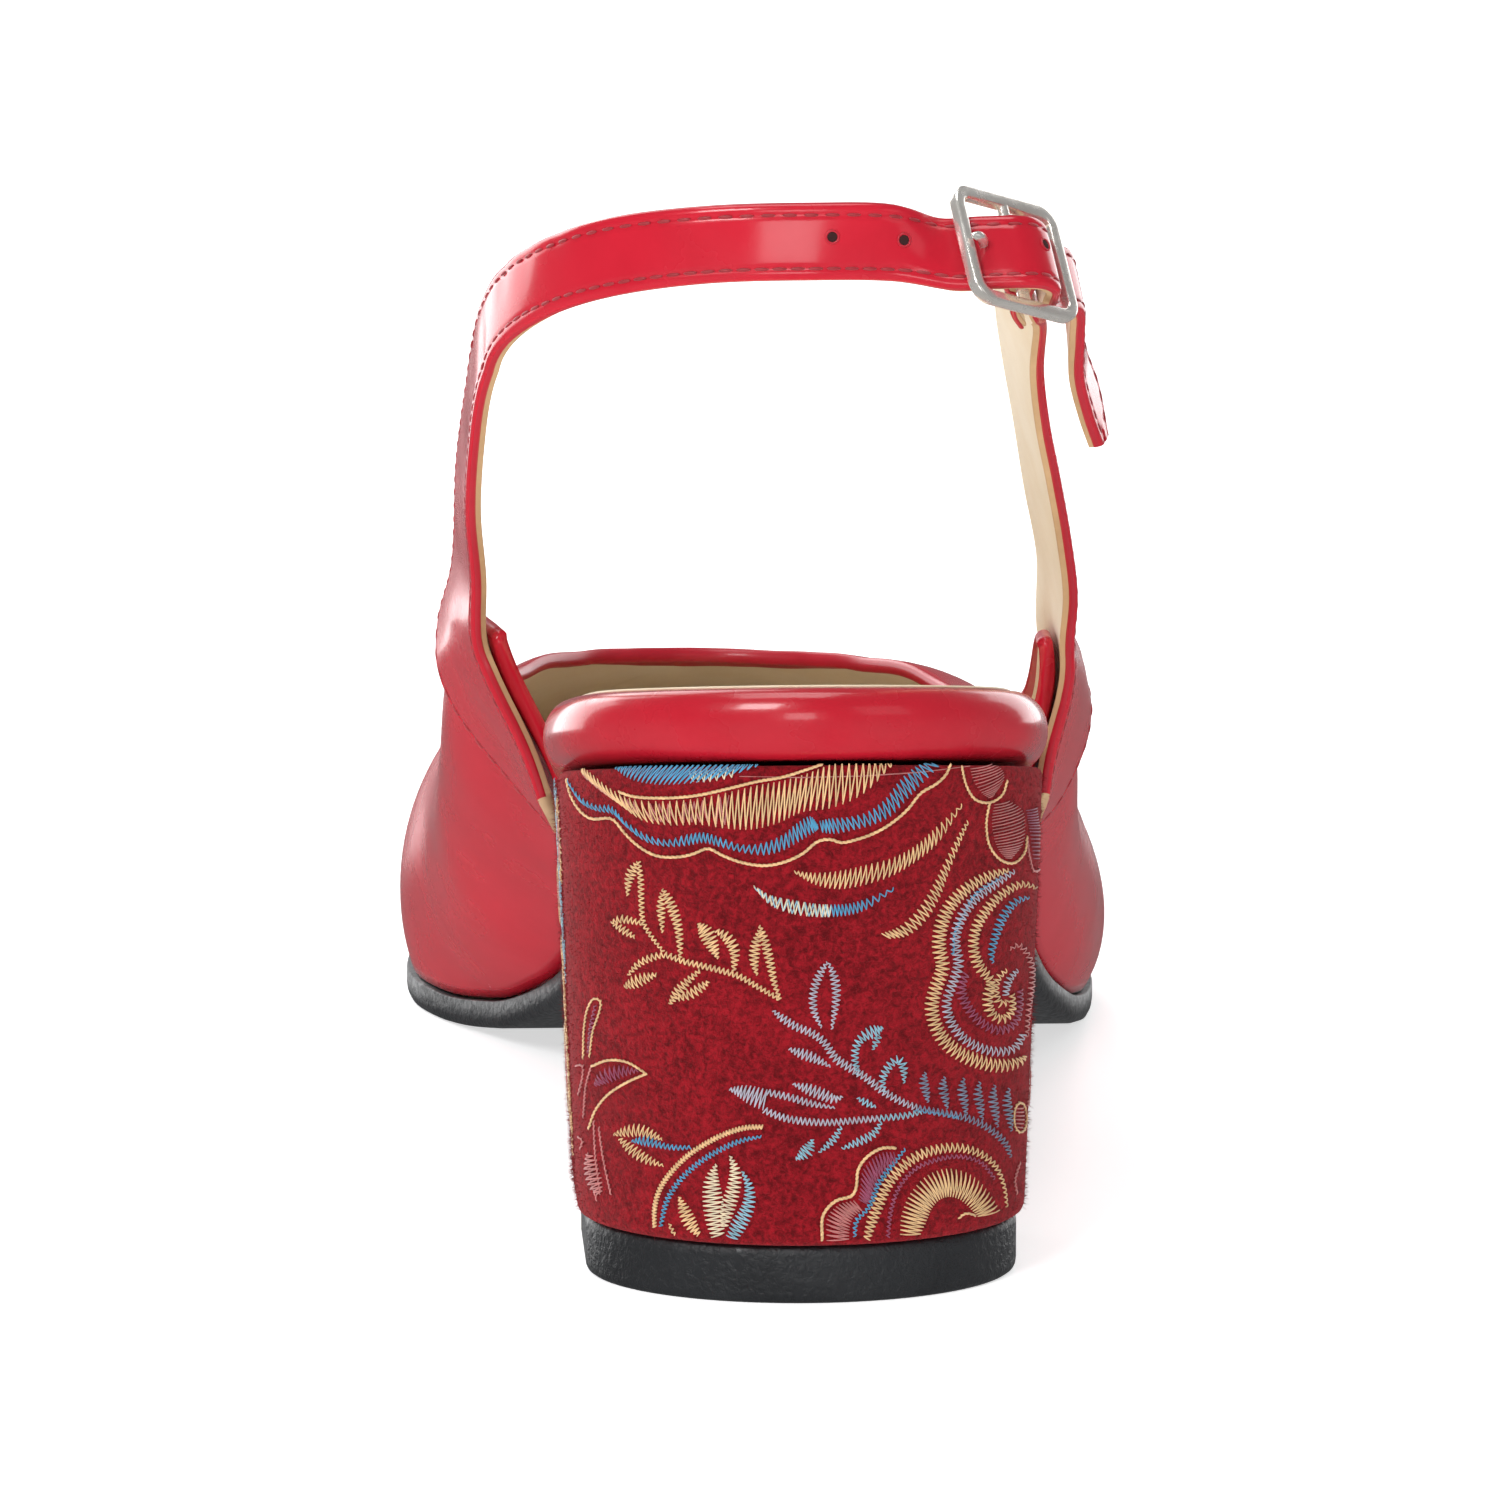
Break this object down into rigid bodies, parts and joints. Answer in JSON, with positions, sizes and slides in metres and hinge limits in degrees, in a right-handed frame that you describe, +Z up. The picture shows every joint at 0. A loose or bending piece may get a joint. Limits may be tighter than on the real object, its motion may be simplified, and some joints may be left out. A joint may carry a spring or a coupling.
{
  "type": "slingback heeled sandal",
  "caption": "Right slingback heeled sandal: hollow closed vamp, ankle strap with a pronged buckle, wrapped footbed and a covered block heel.",
  "frame": {"origin": "on the floor under the centre of the heel, on the top lift's bottom face", "axes": "+Y from heel to toe, +X to the outer side of the right foot, +Z up"},
  "size_m": [0.0868, 0.2371, 0.1252],
  "materials": {
    "red_leather": "smooth, glossy",
    "red_suede": "napped suede, embroidered",
    "beige_lining": "matt lining leather",
    "black_rubber": "fine pebble grain",
    "nickel": "polished warm nickel"
  },
  "bodies": {
    "root": {"top_lift": "black_rubber", "heel_block": "red_suede", "outsole": "black_rubber", "insole": "red_leather", "sock": "beige_lining", "upper": "red_leather", "sling_strap": "red_leather", "buckle_strap": "red_leather", "buckle_frame": "nickel", "buckle_prong": "nickel"}
  },
  "joints": []
}
